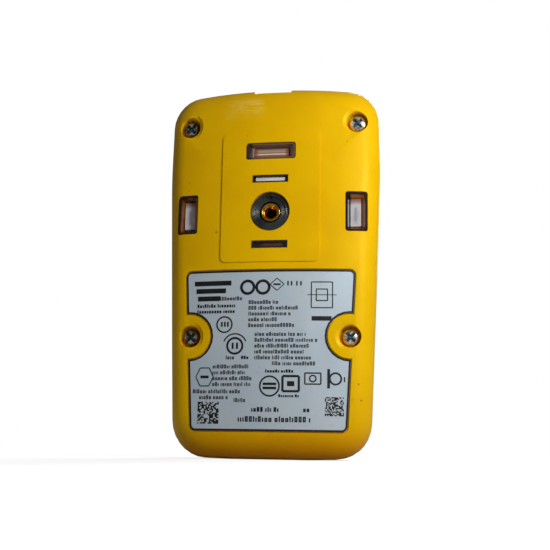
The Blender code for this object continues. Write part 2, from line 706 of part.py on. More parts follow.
def led(name, x, z, y_from, y_to, upright=True):
    width, height = (LED_SIZE[2], LED_SIZE[0]) if upright else (LED_SIZE[0], LED_SIZE[2])
    lamp = box(name, (x - width / 2, y_from, z - height / 2), (x + width / 2, y_to, z + height / 2))
    finish(soften(lamp, 0.2 * MM, 1), "white", smooth=False)


def cross_shape(centre, reach, half_width):
    """A cross with its arms on the diagonals, as (x, z) corners."""
    arm = ((half_width, half_width), (reach, half_width), (reach, -half_width))
    corners = [Vector(corner) for corner in arm]
    turns = [Matrix.Rotation(math.radians(45 - 90 * quarter), 2) for quarter in range(4)]
    return [tuple(Vector(centre) + turn @ corner) for turn in turns for corner in corners]


def case_screws():
    """Pan-head screws with a cross recess, driven from the rear into the front cover's bosses."""
    for ending, x, z in screw_places():
        name = f"case_screw_{ending}"
        profile = [
            (0.0, SCREW_HEAD_THICK),
            (SCREW_HEAD_R * 0.55, SCREW_HEAD_THICK * 0.94),
            (SCREW_HEAD_R * 0.9, SCREW_HEAD_THICK * 0.66),
            (SCREW_HEAD_R, SCREW_HEAD_THICK * 0.3),
            (SCREW_HEAD_R, 0.0),
            (SCREW_SHANK_R, 0.0),
            (SCREW_SHANK_R, -SCREW_LENGTH + 1.2 * MM),
            (SCREW_SHANK_R * 0.4, -SCREW_LENGTH),
            (0.0, -SCREW_LENGTH),
        ]
        turn = Matrix.Rotation(math.radians(90), 4, "X")
        seat = Matrix.Translation((x, SCREW_SEAT_Y - SEAT_GAP / 2, z))
        screw = turned(name, profile, seat @ turn, sides=16)
        head_y = SCREW_SEAT_Y - SEAT_GAP / 2 - SCREW_HEAD_THICK
        cross = cross_shape((x, z), SCREW_RECESS[0] / 2, SCREW_RECESS[1] / 2)
        cut(screw, plate(f"{name}_recess", [cross], head_y - MM, head_y + SCREW_RECESS[2]))
        finish(screw, "steel", smooth=False)


def front_cover():
    rim_y = PARTING_Y + PARTING_GAP / 2
    cover = half_shell("front_cover", rim_y, front_face_y, FRONT_EDGE, -1, FRONT_DRAFT)
    inner_y = FRONT_Y - WALL
    collar_ends = (0, inner_y + WALL / 2, SENSOR_Z), (0, DEPTH / 2, SENSOR_Z)
    join(cover, cylinder("collar", COLLAR_R, *collar_ends, sides=FINE, tip_radius=COLLAR_R - 0.5 * MM))
    boss_y = SCREW_SEAT_Y + WELL_FLOOR + PARTING_GAP
    for ending, x, z in screw_places():
        top_y = front_face_y(x, z) - WALL / 2 - 1.5 * MM
        join(cover, cylinder(f"screw_boss_{ending}", BOSS_R, (x, boss_y, z), (x, top_y, z)))
    for ending, x, z in screw_places():
        pilot_end = SCREW_SEAT_Y + SCREW_LENGTH + MM
        pilot_r = SCREW_SHANK_R + SCREW_CLEARANCE
        cut(cover, cylinder(f"pilot_{ending}", pilot_r, (x, boss_y - MM, z), (x, pilot_end, z), 12))
    outside_y, inside_y = DEPTH / 2 + MM, inner_y - 2 * MM
    display = (0, DISPLAY_Z)
    shelf = rectangle(grown(PANE, LENS_GAP), display, PANE_CORNER)
    opening = rectangle(DISPLAY_OPENING, display, MM)
    dish_y, ledge_y = FRONT_Y - BUTTON_DISH_DEPTH, grille_seat_y()
    cut(
        cover,
        plate("pane_shelf", [shelf], FRONT_Y - PANE_SHELF, outside_y),
        plate("display_opening", [opening], inside_y, outside_y),
        cylinder(
            "button_dish",
            BUTTON_DISH_R,
            (0, outside_y, BUTTON_Z),
            (0, dish_y, BUTTON_Z),
            FINE,
            tip_radius=BUTTON_R + 2 * BUTTON_GAP,
        ),
        cylinder("button_hole", BUTTON_R + BUTTON_GAP, (0, inside_y, BUTTON_Z), (0, outside_y, BUTTON_Z)),
        cylinder("grille_pocket", GRILLE_R + LENS_GAP, (0, ledge_y, SENSOR_Z), (0, outside_y, SENSOR_Z), FINE),
        cylinder("sensor_port", SENSOR_PORT_R, (0, inside_y, SENSOR_Z), (0, outside_y, SENSOR_Z), FINE),
    )
    for row in (-1, 0, 1):
        slot = rectangle(SOUND_SLOT, (0, SOUNDER_Z + row * SOUND_SLOT_PITCH))
        cut(cover, plate(f"sound_slot_{row + 2}", [slot], inside_y, outside_y))
    for side, sign in (("left", -1), ("right", 1)):
        centre = (sign * FRONT_LENS_X, FRONT_LENS_Z)
        lens = rectangle(FRONT_LENS, centre, WINDOW_CORNER)
        cut(cover, plate(f"front_window_{side}", [lens], inside_y - 3 * MM, outside_y))
    cut(cover, gasket_ring("gasket_groove", 0.55 * MM, PARTING_Y + 0.3 * MM))
    return finish(cover, "yellow")


def grille_seat_y():
    """The ledge in the front cover that the filter and the grille lie on."""
    return DEPTH / 2 - SEAT_GAP - GRILLE_THICK - 0.55 * MM


def gasket_ring(name, radius, y):
    """A round cord laid along the middle of the side wall."""
    curve = bpy.data.curves.new(name, "CURVE")
    curve.dimensions = "3D"
    curve.bevel_depth = radius
    curve.bevel_resolution = 0
    outline = body_outline(WALL / 2, REAR_DRAFT)
    spline = curve.splines.new("POLY")
    spline.points.add(len(outline) - 1)
    for point, (x, z) in zip(spline.points, outline):
        point.co = (x, y, z, 1.0)
    spline.use_cyclic_u = True
    return as_mesh(place(name, curve))


def housing_gasket():
    finish(gasket_ring("housing_gasket", 0.36 * MM, PARTING_Y + 0.3 * MM), "rubber")


def front_lenses():
    """A clear bar in each front window that reaches back to its lamp on the board."""
    for side, sign in (("left", -1), ("right", 1)):
        x, z = sign * FRONT_LENS_X, FRONT_LENS_Z
        face_y = front_face_y(x, z)
        width, height = grown(FRONT_LENS, -LENS_GAP)
        head_y = face_y - WALL - 1.2 * MM
        lens = plate(f"front_lens_{side}", [rectangle((width, height), (x, z), WINDOW_CORNER)], head_y, face_y)
        tip_y = BOARD_FRONT_Y + 2 * SEAT_GAP + LED_SIZE[1]
        stem_x = sign * (BOARD_WIDTH / 2 - 2.0 * MM)
        stem = box(f"lens_stem_{side}", (stem_x - MM, tip_y, z - 3 * MM), (stem_x + MM, head_y + MM / 2, z + 3 * MM))
        join(lens, stem)
        finish(lens, "lens", smooth=False)
        lamp_y = BOARD_FRONT_Y + SEAT_GAP
        led(f"front_led_{side}", stem_x, z, lamp_y, lamp_y + LED_SIZE[1])


def sensor_parts():
    """The gas sensor with its pins, and the gasket, filter and grille in front of it."""
    seat_y = grille_seat_y()
    grille_y = DEPTH / 2 - SEAT_GAP - GRILLE_THICK
    centre = (0, SENSOR_Z)
    holes = [circle(GRILLE_HOLE_R, centre, 12)]
    for k in range(6):
        turn = math.radians(60 * k)
        around = (GRILLE_PITCH * math.cos(turn), SENSOR_Z + GRILLE_PITCH * math.sin(turn))
        holes.append(circle(GRILLE_HOLE_R, around, 12))
    grille = plate("sensor_grille", [circle(GRILLE_R, centre, FINE), *holes], grille_y, grille_y + GRILLE_THICK)
    finish(grille, "black", smooth=False)
    filter_r = GRILLE_R - 0.6 * MM
    filter_ends = (0, seat_y + 0.1 * MM, SENSOR_Z), (0, grille_y - 0.1 * MM, SENSOR_Z)
    finish(cylinder("sensor_filter", filter_r, *filter_ends, sides=FINE), "felt", smooth=False)
    gasket_front = front_face_y(SENSOR_R, SENSOR_Z) - WALL - SEAT_GAP
    gasket_back = gasket_front - 0.9 * MM
    rings = [circle(SENSOR_R, centre), circle(SENSOR_R - 1.6 * MM, centre)]
    finish(plate("sensor_gasket", rings, gasket_back, gasket_front), "rubber", smooth=False)
    body_front = gasket_back - SEAT_GAP
    body_back = BOARD_FRONT_Y + 1.2 * MM
    body = cylinder("gas_sensor", SENSOR_R, (0, body_back, SENSOR_Z), (0, body_front, SENSOR_Z), FINE)
    finish(soften(body, 0.5 * MM, 1), "white")
    for k in range(3):
        turn = math.radians(90 + 120 * k)
        x, z = 5.2 * MM * math.cos(turn), SENSOR_Z + 5.2 * MM * math.sin(turn)
        ends = (x, BOARD_FRONT_Y + SEAT_GAP / 2, z), (x, body_back - SEAT_GAP / 2, z)
        finish(cylinder(f"sensor_pin_{k + 1}", 0.6 * MM, *ends, sides=12), "nickel", smooth=False)


def sounder():
    front_y = front_face_y(SOUNDER_R, SOUNDER_Z) - WALL - SEAT_GAP
    gasket_back = front_y - 0.5 * MM
    centre = (0, SOUNDER_Z)
    rings = [circle(SOUNDER_R - 0.2 * MM, centre), circle(SOUNDER_R - 1.6 * MM, centre)]
    finish(plate("sounder_gasket", rings, gasket_back, front_y), "rubber", smooth=False)
    body_front, body_back = gasket_back - SEAT_GAP, gasket_back - SEAT_GAP - 4.0 * MM
    body = cylinder("sounder", SOUNDER_R, (0, body_back, SOUNDER_Z), (0, body_front, SOUNDER_Z))
    sound_hole = cylinder("sounder_hole", MM, (0, body_front - MM, SOUNDER_Z), (0, front_y, SOUNDER_Z), 12)
    finish(cut(body, sound_hole), "black")


def display():
    """The display: window pane, glass, light guide, contact strips and the frame that holds them."""
    centre = (0, DISPLAY_Z)
    pane_back = FRONT_Y - PANE_SHELF + 0.15 * MM
    pane = plate("display_window", [rectangle(PANE, centre, PANE_CORNER)], pane_back, pane_back + PANE_THICK)
    finish(pane, "glass", smooth=False)
    frame_half = GLASS[0] / 2 + 0.3 * MM + FRAME_WALL
    glass_front = front_face_y(frame_half, DISPLAY_Z) - WALL - 0.3 * MM
    glass_back = glass_front - GLASS_THICK
    finish(plate("display_glass", [rectangle(GLASS, centre)], glass_back, glass_front), "glass", smooth=False)
    guide_front = glass_back - SEAT_GAP
    guide_back = guide_front - BACKLIGHT_THICK
    finish(plate("backlight", [rectangle(BACKLIGHT, centre)], guide_back, guide_front), "white", smooth=False)
    strip_back = BOARD_FRONT_Y + SEAT_GAP
    for ending, sign in (("upper", 1), ("lower", -1)):
        strip_z = DISPLAY_Z + sign * (GLASS[1] / 2 - STRIP[1] / 2 - 0.3 * MM)
        strip = plate(f"contact_strip_{ending}", [rectangle(STRIP, (0, strip_z))], strip_back, guide_front)
        finish(strip, "rubber", smooth=False)
    inside = grown(GLASS, 0.3 * MM)
    outside = grown(inside, FRAME_WALL)
    outlines = [rectangle(outside, centre, 0.8 * MM), rectangle(inside, centre)]
    finish(plate("display_frame", outlines, strip_back, glass_front), "black", smooth=False)


def button_parts():
    """The push button, and the switch under it on the board with its plunger."""
    flange_front = FRONT_Y - WALL - 0.3 * MM
    flange_thick = 1.4 * MM
    cap_front = FRONT_Y + 0.2 * MM
    plunger_tip = BOARD_FRONT_Y + SEAT_GAP + SWITCH_HEIGHT + 1.0 * MM
    stem_end = plunger_tip + SEAT_GAP
    profile = [
        (0.0, cap_front),
        (BUTTON_R * 0.55, cap_front - 0.12 * MM),
        (BUTTON_R * 0.88, cap_front - 0.45 * MM),
        (BUTTON_R, cap_front - 1.0 * MM),
        (BUTTON_R, flange_front),
        (BUTTON_FLANGE_R, flange_front),
        (BUTTON_FLANGE_R, flange_front - flange_thick),
        (1.6 * MM, flange_front - flange_thick),
        (1.6 * MM, stem_end),
        (0.0, stem_end),
    ]
    turn = Matrix.Rotation(math.radians(-90), 4, "X")
    finish(turned("push_button", profile, Matrix.Translation((0, 0, BUTTON_Z)) @ turn), "black", smooth=False)
    base_y = BOARD_FRONT_Y + SEAT_GAP
    top_y = base_y + SWITCH_HEIGHT
    half = SWITCH_SIZE / 2
    switch = box("tact_switch", (-half, base_y, BUTTON_Z - half), (half, top_y, BUTTON_Z + half))
    well_y = plunger_tip - 1.9 * MM - BUTTON_TRAVEL - 0.1 * MM
    ends = (0, well_y, BUTTON_Z), (0, top_y + MM, BUTTON_Z)
    finish(cut(switch, cylinder("plunger_well", PLUNGER_R + SCREW_CLEARANCE, *ends, sides=16)), "black", smooth=False)
    ends = (0, plunger_tip - 1.9 * MM, BUTTON_Z), (0, plunger_tip, BUTTON_Z)
    finish(cylinder("switch_plunger", PLUNGER_R, *ends, sides=16), "black")


def main_board():
    """The circuit board, open where the cell sits in it and notched round the screw bosses."""
    outline = [
        (-BOARD_FOOT_WIDTH / 2, BOARD_LOW_Z, 2 * MM),
        (BOARD_FOOT_WIDTH / 2, BOARD_LOW_Z, 2 * MM),
        (BOARD_WIDTH / 2, MIDDLE_SCREW[1], 0.0),
        (BOARD_WIDTH / 2, BOARD_HIGH_Z, 2 * MM),
        (-BOARD_WIDTH / 2, BOARD_HIGH_Z, 2 * MM),
        (-BOARD_WIDTH / 2, MIDDLE_SCREW[1], 0.0),
    ]
    cell_bay = rectangle((CELL_LENGTH + 3.4 * MM, 2 * CELL_R + MM), (0, CELL_Z), MM)
    board = plate("main_board", [rounded(outline, 3), cell_bay], BOARD_BACK_Y, BOARD_FRONT_Y)
    for ending, x, z in screw_places():
        ends = (x, BOARD_BACK_Y - MM, z), (x, BOARD_FRONT_Y + MM, z)
        cut(board, cylinder(f"boss_notch_{ending}", BOSS_R + BOARD_CLEAR, *ends))
    finish(board, "board", smooth=False)


def board_components():
    """Chips on the rear of the board: (name, x, drop from the board's top, width, height, thickness)."""
    chips = (
        ("microcontroller", 0.0, 21.5, 7.0, 7.0, 1.0),
        ("memory_chip", 9.0, 20.0, 4.0, 3.0, 0.9),
        ("capacitor_1", -8.5, 19.0, 3.5, 2.8, 1.9),
        ("capacitor_2", -8.5, 23.5, 3.5, 2.8, 1.9),
    )
    for name, x, drop, width, height, thick in chips:
        back_y = BOARD_BACK_Y - SEAT_GAP
        z = BOARD_HIGH_Z / MM - drop
        low = ((x - width / 2) * MM, back_y - thick * MM, (z - height / 2) * MM)
        high = ((x + width / 2) * MM, back_y, (z + height / 2) * MM)
        finish(soften(box(name, low, high), 0.15 * MM, 1), "black", smooth=False)


def battery():
    """The lithium cell, lying across the body, with a nickel tab from each end to the board."""
    half = CELL_LENGTH / 2
    profile = [
        (0.0, half),
        (2.2 * MM, half),
        (2.2 * MM, half - 0.8 * MM),
        (CELL_R - 0.6 * MM, half - 0.8 * MM),
        (CELL_R, half - 1.4 * MM),
        (CELL_R, -half + 0.5 * MM),
        (CELL_R - 0.5 * MM, -half),
        (0.0, -half),
    ]
    turn = Matrix.Rotation(math.radians(90), 4, "Y")
    finish(turned("battery_cell", profile, Matrix.Translation((0, CELL_Y, CELL_Z)) @ turn), "cell", smooth=False)
    for side, sign in (("left", -1), ("right", 1)):
        near, thick = half + SEAT_GAP, 0.3 * MM
        board_edge = half + 1.7 * MM
        foot_y = BOARD_BACK_Y - SEAT_GAP
        path = [
            (near, CELL_Y - 2 * MM),
            (near + thick, CELL_Y - 2 * MM),
            (near + thick, foot_y - thick),
            (board_edge + 2.4 * MM, foot_y - thick),
            (board_edge + 2.4 * MM, foot_y),
            (near, foot_y),
        ]
        strip = plate(f"battery_tab_{side}", [[(sign * a, b) for a, b in path]], -2 * MM, 2 * MM)
        lie = Matrix.Rotation(math.radians(-90), 4, "X")
        strip.matrix_world = Matrix.Translation((0, 0, CELL_Z)) @ lie @ strip.matrix_world
        finish(strip, "nickel", smooth=False)


def vibration_motor():
    """The motor of the vibrating alarm in its rubber cradle. Its shaft carries an off-centre weight."""
    x, y, z = MOTOR_AT
    half = MOTOR_LENGTH / 2
    finish(cylinder("vibration_motor", MOTOR_R, (x - half, y, z), (x + half, y, z)), "steel")
    cradle_half = half - 2.0 * MM
    cradle = box(
        "motor_cradle",
        (x - cradle_half, y - MM, z - MOTOR_R - 1.2 * MM),
        (x + cradle_half, BOARD_BACK_Y - SEAT_GAP, z + MOTOR_R + 1.2 * MM),
    )
    ends = (x - half, y, z), (x + half, y, z)
    finish(cut(cradle, cylinder("motor_bed", MOTOR_R + SEAT_GAP, *ends)), "rubber", smooth=False)
    shaft_start = x + half + SEAT_GAP
    weight_start = shaft_start + 0.8 * MM
    shaft_end = weight_start + WEIGHT_LENGTH + 0.4 * MM
    finish(cylinder("motor_shaft", SHAFT_R, (shaft_start, y, z), (shaft_end, y, z), 12), "steel")
    ends = (weight_start, y, z), (weight_start + WEIGHT_LENGTH, y, z)
    weight = cylinder("eccentric_weight", WEIGHT_R, *ends)
    upper_half = box(
        "weight_relief",
        (weight_start - MM, y - 2 * WEIGHT_R, z + 1.1 * MM),
        (weight_start + WEIGHT_LENGTH + MM, y + 2 * WEIGHT_R, z + 2 * WEIGHT_R),
    )
    bore_ends = (weight_start - MM, y, z), (weight_start + WEIGHT_LENGTH + MM, y, z)
    cut(weight, upper_half, cylinder("weight_bore", SHAFT_R + 0.12 * MM, *bore_ends, sides=12))
    finish(weight, "steel", smooth=False)


rear_cover()
rating_label()
clip_boss()
threaded_insert()
alarm_windows()
case_screws()
front_cover()
housing_gasket()
front_lenses()
sensor_parts()
sounder()
display()
button_parts()
main_board()
board_components()
battery()
vibration_motor()
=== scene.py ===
"""The looks of a pocket gas detector, seen from behind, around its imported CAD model."""

import json
import math
import random

import bmesh
import bpy
from mathutils import Matrix, Vector
from mathutils.bvhtree import BVHTree


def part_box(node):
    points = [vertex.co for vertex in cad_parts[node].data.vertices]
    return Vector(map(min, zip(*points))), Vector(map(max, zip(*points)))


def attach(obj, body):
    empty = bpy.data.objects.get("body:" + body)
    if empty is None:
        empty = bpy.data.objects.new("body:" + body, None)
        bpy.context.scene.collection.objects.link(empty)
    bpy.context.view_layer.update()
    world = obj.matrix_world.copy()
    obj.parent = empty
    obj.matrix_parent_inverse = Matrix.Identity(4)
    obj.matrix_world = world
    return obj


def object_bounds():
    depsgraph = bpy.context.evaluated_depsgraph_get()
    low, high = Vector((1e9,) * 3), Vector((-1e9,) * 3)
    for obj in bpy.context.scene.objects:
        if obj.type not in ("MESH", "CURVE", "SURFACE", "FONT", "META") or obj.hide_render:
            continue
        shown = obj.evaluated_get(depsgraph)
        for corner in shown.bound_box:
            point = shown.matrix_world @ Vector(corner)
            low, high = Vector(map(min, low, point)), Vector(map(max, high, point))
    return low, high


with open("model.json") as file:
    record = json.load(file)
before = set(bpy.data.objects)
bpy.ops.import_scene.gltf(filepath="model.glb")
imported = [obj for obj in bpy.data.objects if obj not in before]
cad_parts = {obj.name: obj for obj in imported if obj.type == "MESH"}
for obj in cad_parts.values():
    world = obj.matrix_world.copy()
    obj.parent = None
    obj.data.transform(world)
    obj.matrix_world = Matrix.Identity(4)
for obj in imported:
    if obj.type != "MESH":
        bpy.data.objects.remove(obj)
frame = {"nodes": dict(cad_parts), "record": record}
NODES = frame["nodes"]
CAD_BOX = [list(corner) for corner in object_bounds()]

MM = 0.001
RNG = random.Random(7)


def box_mm(node):
    """A node's lowest corner, highest corner and middle, in millimetres."""
    low, high = (Vector(corner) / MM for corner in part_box(node))
    return low, high, (low + high) / 2


LABEL_MIDDLE = box_mm("rating_label")[2]
INSERT_LOW, INSERT_HIGH, INSERT_MIDDLE = box_mm("threaded_insert")
_, PANE_HIGH, PANE_MIDDLE = box_mm("display_window")
REAR_Y = CAD_BOX[0][1] / MM
CLIP_Z = INSERT_MIDDLE.z
SLOT_REACH = 7.7  # from the clip's screw to each slot
SCREW_CROSS_R = 1.3  # how far out the driver's cross reaches
BORDER_WIDTH = 0.42


def linear(r, g, b):
    """An sRGB colour, 0 to 255, as linear RGB."""
    return tuple((c / 255 / 12.92) if c <= 10 else ((c / 255 + 0.055) / 1.055) ** 2.4 for c in (r, g, b))


# --- Materials ---


class Look:
    """A node material with short ways to add textures to its shader. Places are in millimetres."""

    def __init__(self, name, colour, roughness=0.5, metallic=0.0, **sockets):
        self.mat = bpy.data.materials.new(name)
        self.mat.use_nodes = True
        self.tree = self.mat.node_tree
        self.shader = self.tree.nodes["Principled BSDF"]
        self.set("Base Color", (*colour, 1.0))
        self.set("Roughness", roughness)
        self.set("Metallic", metallic)
        for socket, value in sockets.items():
            self.set(socket.replace("_", " "), value)
        self.coords = self.tree.nodes.new("ShaderNodeTexCoord").outputs["Object"]
        self.normal = None

    def set(self, socket, value):
        self.shader.inputs[socket].default_value = value

    def node(self, kind, **values):
        made = self.tree.nodes.new("ShaderNode" + kind)
        for key, value in values.items():
            if isinstance(value, bpy.types.NodeSocket):
                self.tree.links.new(value, made.inputs[key])
            elif key in made.inputs:
                made.inputs[key].default_value = value
            else:
                setattr(made, key, value)
        return made

    def noise(self, scale, detail=4.0, rough=0.55, stretch=None):
        where = self.coords
        if stretch:
            mapping = self.node("Mapping", Vector=where)
            mapping.inputs["Scale"].default_value = stretch
            where = mapping.outputs[0]
        return self.node("TexNoise", Vector=where, Scale=scale, Detail=detail, Roughness=rough).outputs["Fac"]

    def ramp(self, value, stops):
        """Maps a value to colours or numbers given as (position, colour or number)."""
        made = self.node("ValToRGB", Fac=value)
        made.color_ramp.interpolation = "EASE"
        elements = made.color_ramp.elements
        while len(elements) < len(stops):
            elements.new(0.5)
        for element, (position, colour) in zip(elements, stops):
            element.position = position
            rgb = colour if isinstance(colour, tuple) else (colour,) * 3
            element.color = (*rgb, 1.0)
        return made.outputs["Color"]

    def mix(self, a, b, amount):
        made = self.tree.nodes.new("ShaderNodeMix")
        made.data_type = "RGBA"
        for index, value in ((0, amount), (6, a), (7, b)):
            if isinstance(value, bpy.types.NodeSocket):
                self.tree.links.new(value, made.inputs[index])
            elif index == 0:
                made.inputs[0].default_value = value
            else:
                made.inputs[index].default_value = (*value, 1.0)
        return made.outputs[2]

    def drive(self, socket, value):
        self.tree.links.new(value, self.shader.inputs[socket])

    def bump(self, height, distance, strength=1.0):
        made = self.node("Bump", Height=height, Distance=distance, Strength=strength)
        if self.normal is not None:
            self.tree.links.new(self.normal, made.inputs["Normal"])
        self.normal = made.outputs["Normal"]
        self.drive("Normal", self.normal)

    def axis(self, name):
        """The distance along one axis, in millimetres."""
        split = self.node("SeparateXYZ", Vector=self.coords)
        return self.maths("MULTIPLY", split.outputs[name], 1000.0)

    def maths(self, operation, a, b=0.0, c=0.0):
        made = self.tree.nodes.new("ShaderNodeMath")
        made.operation = operation
        for index, value in enumerate((a, b, c)):
            if isinstance(value, bpy.types.NodeSocket):
                self.tree.links.new(value, made.inputs[index])
            else:
                made.inputs[index].default_value = value
        return made.outputs[0]

    def from_to(self, value, low, high):
        """0 below one value and 1 above another, rising smoothly between them."""
        made = self.tree.nodes.new("ShaderNodeMapRange")
        made.interpolation_type = "SMOOTHSTEP"
        self.tree.links.new(value, made.inputs["Value"])
        made.inputs["From Min"].default_value = low
        made.inputs["From Max"].default_value = high
        return made.outputs["Result"]

    def away(self, name, centre):
        """The distance from a plane across an axis."""
        return self.maths("ABSOLUTE", self.maths("SUBTRACT", self.axis(name), centre))

    def inside(self, x, z, half_x, half_z, soft):
        """1 inside a rectangle seen along Y and 0 outside it."""
        across = self.from_to(self.away("X", x), half_x + soft, half_x)
        up = self.from_to(self.away("Z", z), half_z + soft, half_z)
        return self.maths("MULTIPLY", across, up)

    def spot(self, x, z, radius, soft):
        """1 inside a circle seen along Y and 0 outside it."""
        dx, dz = self.away("X", x), self.away("Z", z)
        square = self.maths("ADD", self.maths("MULTIPLY", dx, dx), self.maths("MULTIPLY", dz, dz))
        return self.from_to(self.maths("SQRT", square), radius + soft, radius)


# Dark specks on the rear face: across, up and radius.
SPECKS = ((-12.5, 51.0, 0.25), (20.0, 16.5, 0.2), (20.5, 13.0, 0.2), (17.5, 72.0, 0.12))


def yellow_look():
    look = Look("soft_yellow", (0.8, 0.46, 0.003), 0.4, **{"Specular_IOR_Level": 0.45})
    look.set("Specular Tint", (1.0, 0.72, 0.12, 1.0))
    look.set("Subsurface Weight", 0.12)
    look.set("Subsurface Radius", (1.0, 0.42, 0.03))
    look.set("Subsurface Scale", 0.0015)
    cloud = look.noise(60.0, 3.0)
    base = look.mix(linear(238, 188, 0), linear(230, 178, 0), look.ramp(cloud, [(0.35, 0.0), (0.65, 1.0)]))
    speck = look.ramp(look.noise(900.0, 2.0, 0.4), [(0.71, 0.0), (0.76, 1.0)])
    patch = look.ramp(look.noise(90.0, 2.0), [(0.52, 0.0), (0.66, 1.0)])
    dirt = look.maths("MULTIPLY", look.maths("MULTIPLY", speck, patch), 0.6)
    for x, z, radius in SPECKS:
        spot = look.maths("MULTIPLY", look.spot(x, z, radius * 0.5, radius), 0.75)
        dirt = look.maths("MAXIMUM", dirt, spot)
    base = look.mix(base, linear(120, 76, 14), dirt)
    # Scuffs and a painted highlight: a pale, streaky patch near the top of the rear face.
    sheen_area = look.inside(-6.4, 80.4, 3.0, 0.8, 2.4)
    lines = look.ramp(look.noise(420.0, 3.0, 0.6, (0.16, 1.0, 3.2)), [(0.52, 0.0), (0.64, 1.0)])
    haze = look.ramp(look.noise(300.0, 3.0), [(0.4, 0.0), (0.7, 0.55)])
    scuff_and_sheen = look.maths("MULTIPLY", look.maths("MAXIMUM", lines, haze), sheen_area)
    base = look.mix(base, linear(246, 214, 110), look.maths("MULTIPLY", scuff_and_sheen, 0.62))
    # Painted shade: the yellow turns a darker orange towards the bottom and at the left edge.
    low = look.from_to(look.axis("Z"), 9.0, 0.5)
    side = look.from_to(look.axis("X"), -22.5, -28.0)
    painted_edge_shade = look.maths("MAXIMUM", look.maths("MULTIPLY", low, 0.8), side)
    look.drive("Base Color", look.mix(base, linear(206, 128, 0), painted_edge_shade))
    rub = look.noise(240.0, 4.0, 0.6, (1.0, 1.0, 0.25))
    look.drive("Roughness", look.ramp(rub, [(0.3, 0.36), (0.7, 0.5)]))
    look.bump(look.noise(5200.0, 2.0), 0.00002, 0.2)
    look.bump(look.noise(160.0, 2.0), 0.00006, 0.25)
    return look.mat


def smoked_look(name="smoked_plastic", colour=(0.02, 0.014, 0.012), roughness=0.16):
    look = Look(name, colour, roughness, **{"Coat_Weight": 0.4, "Coat_Roughness": 0.08})
    streaks = look.noise(500.0, 3.0, 0.5)
    dark = tuple(c * 0.5 for c in colour)
    look.drive("Base Color", look.mix(dark, colour, look.ramp(streaks, [(0.35, 0.0), (0.65, 1.0)])))
    look.bump(look.noise(1500.0, 2.0), 0.00002, 0.3)
    return look.mat


def boss_look():
    """Dark and turned round the insert, and brown where the plate's key shows in the lower slot."""
    look = Look("turned_boss", linear(44, 50, 48), 0.3, Coat_Weight=0.5, Coat_Roughness=0.12)
    dx, dz = look.away("X", 0.0), look.away("Z", CLIP_Z)
    square = look.maths("ADD", look.maths("MULTIPLY", dx, dx), look.maths("MULTIPLY", dz, dz))
    radius = look.maths("SQRT", square)
    cloud = look.ramp(look.noise(260.0, 3.0), [(0.4, 0.0), (0.62, 1.0)])
    ring = look.mix(linear(16, 24, 26), linear(46, 50, 48), cloud)
    key = look.mix(linear(40, 20, 14), linear(84, 56, 42), cloud)
    look.drive("Base Color", look.mix(ring, key, look.from_to(radius, 4.9, 5.0)))
    look.drive("Roughness", look.ramp(look.noise(700.0, 3.0), [(0.3, 0.22), (0.7, 0.4)]))
    groove = look.maths("SINE", look.maths("MULTIPLY", radius, 2 * math.pi / 0.3))
    look.bump(groove, 0.00003, 0.8)
    look.bump(look.noise(900.0, 2.0), 0.00003, 0.3)
    return look.mat


def screw_look(node):
    """Painted light on steel: a painted glint round the driver's cross, painted shade in it and a painted
    ochre reflection at the head's edge.

    The left pair stands in shade in the photograph, so its steel is painted darker.
    """
    low, high, middle = box_mm(node)
    look = Look(f"{node}_steel", linear(190, 204, 214), 0.2, 0.7)
    dx, dz = look.away("X", middle.x), look.away("Z", middle.z)
    square = look.maths("ADD", look.maths("MULTIPLY", dx, dx), look.maths("MULTIPLY", dz, dz))
    radius = look.maths("SQRT", square)
    patches = look.ramp(look.noise(1300.0, 2.0), [(0.44, 0.0), (0.56, 1.0)])
    # Painted highlight and reflection: near-white steel with blue-grey patches round the cross.
    painted_glint = look.mix(linear(250, 253, 255), linear(128, 166, 180), patches)
    # Painted shade: dark teal in the cross's recess.
    shade = linear(30, 66, 78)
    recess = look.from_to(look.axis("Y"), low.y + 0.2, low.y + 0.45)
    # Painted reflection of the yellow well: ochre at the head's edge.
    edge = look.mix(linear(222, 190, 118), linear(190, 148, 72), patches)
    # Painted shade: darker copies of these colours for the left pair.
    if middle.x < 0:
        painted_glint = look.mix(linear(180, 192, 190), linear(84, 104, 106), patches)
        shade = linear(14, 30, 32)
        edge = look.mix(linear(138, 98, 44), linear(84, 56, 24), patches)
    cross = look.mix(painted_glint, shade, look.maths("MULTIPLY", recess, 0.75))
    look.drive("Base Color", look.mix(cross, edge, look.from_to(radius, SCREW_CROSS_R, SCREW_CROSS_R + 0.2)))
    look.drive("Roughness", look.ramp(look.noise(900.0, 3.0), [(0.3, 0.16), (0.7, 0.3)]))
    look.bump(look.noise(1500.0, 2.0), 0.00002, 0.5)
    return look.mat


def frame_look(name, node, rim, wall, deep, end=None):
    """Smoked plastic: a dark rim round a window, with light walls that deepen to another colour, and painted
    shade at the left end when an end colour is given.
    """
    low, high, middle = box_mm(node)
    look = Look(name, wall, 0.18, **{"Coat_Weight": 0.5, "Coat_Roughness": 0.06})
    half_x, half_z = (high.x - low.x) / 2 - 0.72, (high.z - low.z) / 2 - 0.72
    cloud = look.ramp(look.noise(420.0, 3.0, 0.6, (1.0, 1.0, 0.35)), [(0.36, 0.0), (0.66, 1.0)])
    walls = look.mix(wall, deep, cloud)
    within = look.inside(middle.x, middle.z, half_x, half_z, 0.35)
    base = look.mix(rim, walls, within)
    # Painted shade: the end colour darkens the window's left end.
    if end:
        base = look.mix(base, end, look.from_to(look.axis("X"), low.x + 1.7, low.x + 0.9))
    look.drive("Base Color", base)
    look.bump(look.noise(1100.0, 2.0), 0.00003, 0.4)
    return look.mat


